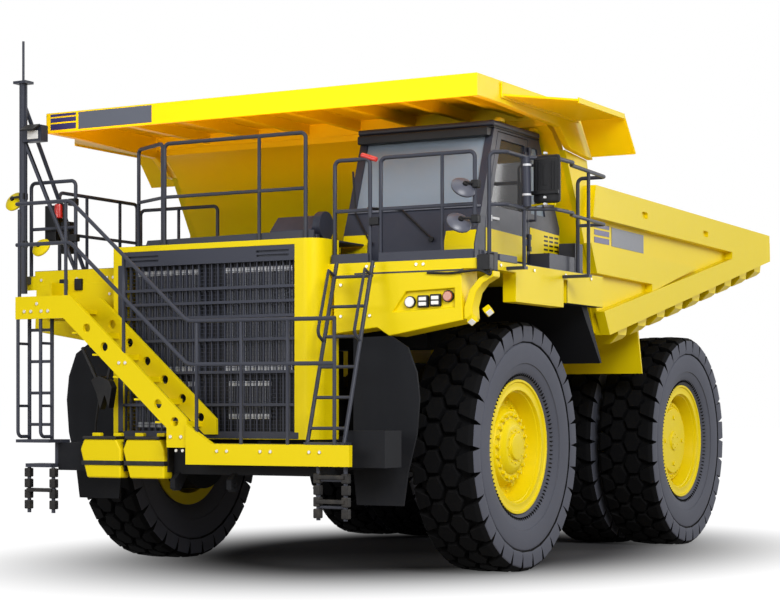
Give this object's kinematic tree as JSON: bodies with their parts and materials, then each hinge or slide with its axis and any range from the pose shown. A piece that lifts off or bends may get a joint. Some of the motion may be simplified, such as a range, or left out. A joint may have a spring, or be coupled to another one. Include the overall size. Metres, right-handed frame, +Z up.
{
  "type": "mining dump truck",
  "caption": "Rigid-frame mining dump truck with steering front wheels, dual rear wheels, a cab with a hinged door and a tipping body raised by telescopic cylinders.",
  "frame": {"origin": "on the ground, in the middle of the overall length and width", "axes": "+X to the truck's front, +Y to its left (cab) side, +Z up"},
  "size_m": [10.29, 6.67, 5.88],
  "materials": {
    "yellow_paint": "gloss",
    "dark_paint": "satin",
    "tube_paint": "satin",
    "tyre_rubber": "matt",
    "radiator_core": "matt",
    "cylinder_steel": "polished",
    "cast_parts": "matt",
    "window_glass": "clear",
    "lamp_lens": "clear",
    "cab_trim": "grained",
    "mirror_glass": "polished"
  },
  "bodies": {
    "chassis": {"frame_rails": "dark_paint", "front_struts": "cast_parts", "rear_axle": "cast_parts", "engine": "cast_parts", "transmission": "cast_parts", "front_crossmember": "dark_paint", "radiator": "radiator_core", "grille_frame": "yellow_paint", "grille": "dark_paint", "deck": "yellow_paint", "hood": "dark_paint", "lamp_housings": "yellow_paint", "lamps": "lamp_lens", "mudguards": "dark_paint", "stair": "yellow_paint", "ladders": "tube_paint", "handrails": "tube_paint", "mast": "tube_paint", "mirrors": "dark_paint", "wheel_chocks": "yellow_paint", "tanks": "dark_paint", "cab_shell": "dark_paint", "cab_roof": "dark_paint", "cab_interior": "cab_trim", "cab_glass": "window_glass"},
    "cab_door": {"cab_door": "dark_paint", "door_glass": "window_glass"},
    "dump_body": {"body_floor": "yellow_paint", "body_side_left": "yellow_paint", "body_side_right": "yellow_paint", "body_front_wall": "yellow_paint", "body_canopy": "yellow_paint", "body_wings": "yellow_paint"},
    "steer_left": {"knuckle_left": "cast_parts"},
    "steer_right": {"knuckle_right": "cast_parts"},
    "tie_rod": {"tie_rod": "cast_parts"},
    "wheel_front_left": {"tyre_front_left": "tyre_rubber", "rim_front_left": "yellow_paint"},
    "wheels_rear_left": {"tyres_rear_left": "tyre_rubber", "rim_rear_left": "yellow_paint"},
    "hoist_barrel_left": {"hoist_barrel_left": "dark_paint"},
    "hoist_stage_left": {"hoist_stage_left": "cylinder_steel"},
    "hoist_rod_left": {"hoist_rod_left": "cylinder_steel"},
    "wheel_front_right": {"tyre_front_right": "tyre_rubber", "rim_front_right": "yellow_paint"},
    "wheels_rear_right": {"tyres_rear_right": "tyre_rubber", "rim_rear_right": "yellow_paint"},
    "hoist_barrel_right": {"hoist_barrel_right": "dark_paint"},
    "hoist_stage_right": {"hoist_stage_right": "cylinder_steel"},
    "hoist_rod_right": {"hoist_rod_right": "cylinder_steel"}
  },
  "joints": [
    {"name": "steer_left", "type": "hinge", "parent": "chassis", "child": "steer_left", "pos_m": [2.445, 1.6, 1.35], "axis": [0, 0, 1], "range_deg": [-41, 41]},
    {"name": "spin_front_left", "type": "hinge", "parent": "steer_left", "child": "wheel_front_left", "pos_m": [2.445, 2.1625, 1.35], "axis": [0, 1, 0], "continuous": true},
    {"name": "spin_rear_left", "type": "hinge", "parent": "chassis", "child": "wheels_rear_left", "pos_m": [-2.505, 1.75, 1.35], "axis": [0, 1, 0], "continuous": true},
    {"name": "steer_right", "type": "hinge", "parent": "chassis", "child": "steer_right", "pos_m": [2.445, -1.6, 1.35], "axis": [0, 0, 1], "range_deg": [-41, 41]},
    {"name": "spin_front_right", "type": "hinge", "parent": "steer_right", "child": "wheel_front_right", "pos_m": [2.445, -2.1625, 1.35], "axis": [0, 1, 0], "continuous": true},
    {"name": "spin_rear_right", "type": "hinge", "parent": "chassis", "child": "wheels_rear_right", "pos_m": [-2.505, -1.75, 1.35], "axis": [0, 1, 0], "continuous": true},
    {"name": "tie_rod_turn", "type": "hinge", "parent": "steer_left", "child": "tie_rod", "pos_m": [1.825, 1.6, 1.07], "axis": [0, 0, 1], "range_deg": [-42, 42]},
    {"name": "dump", "type": "hinge", "parent": "chassis", "child": "dump_body", "pos_m": [-3.935, 0, 2.12], "axis": [0, -1, 0], "range_deg": [0, 48]},
    {"name": "hoist_swing_left", "type": "hinge", "parent": "chassis", "child": "hoist_barrel_left", "pos_m": [-0.555, 0.78, 1.15], "axis": [0, -1, 0], "range_deg": [0, 13.62]},
    {"name": "hoist_stage_left", "type": "slide", "parent": "hoist_barrel_left", "child": "hoist_stage_left", "axis": [-0.2559, 0, 0.9667], "range_m": [0, 1.1884]},
    {"name": "hoist_rod_left", "type": "slide", "parent": "hoist_stage_left", "child": "hoist_rod_left", "axis": [-0.2559, 0, 0.9667], "range_m": [0, 1.1884]},
    {"name": "hoist_swing_right", "type": "hinge", "parent": "chassis", "child": "hoist_barrel_right", "pos_m": [-0.555, -0.78, 1.15], "axis": [0, -1, 0], "range_deg": [0, 13.62]},
    {"name": "hoist_stage_right", "type": "slide", "parent": "hoist_barrel_right", "child": "hoist_stage_right", "axis": [-0.2559, 0, 0.9667], "range_m": [0, 1.1884]},
    {"name": "hoist_rod_right", "type": "slide", "parent": "hoist_stage_right", "child": "hoist_rod_right", "axis": [-0.2559, 0, 0.9667], "range_m": [0, 1.1884]},
    {"name": "door_hinge", "type": "hinge", "parent": "chassis", "child": "cab_door", "pos_m": [2.291, 2.472, 4], "axis": [0, 0, 1], "range_deg": [0, 44]}
  ],
  "couplings": [
    {"joint": "steer_right", "follows": "steer_left", "ratio": 1},
    {"joint": "tie_rod_turn", "follows": "steer_left", "ratio": -1},
    {"joint": "hoist_swing_left", "follows": "dump", "ratio": 0.28177},
    {"joint": "hoist_stage_left", "follows": "dump", "m_per_rad": 1.4162},
    {"joint": "hoist_rod_left", "follows": "dump", "m_per_rad": 1.4162},
    {"joint": "hoist_swing_right", "follows": "dump", "ratio": 0.28177},
    {"joint": "hoist_stage_right", "follows": "dump", "m_per_rad": 1.4162},
    {"joint": "hoist_rod_right", "follows": "dump", "m_per_rad": 1.4162}
  ]
}
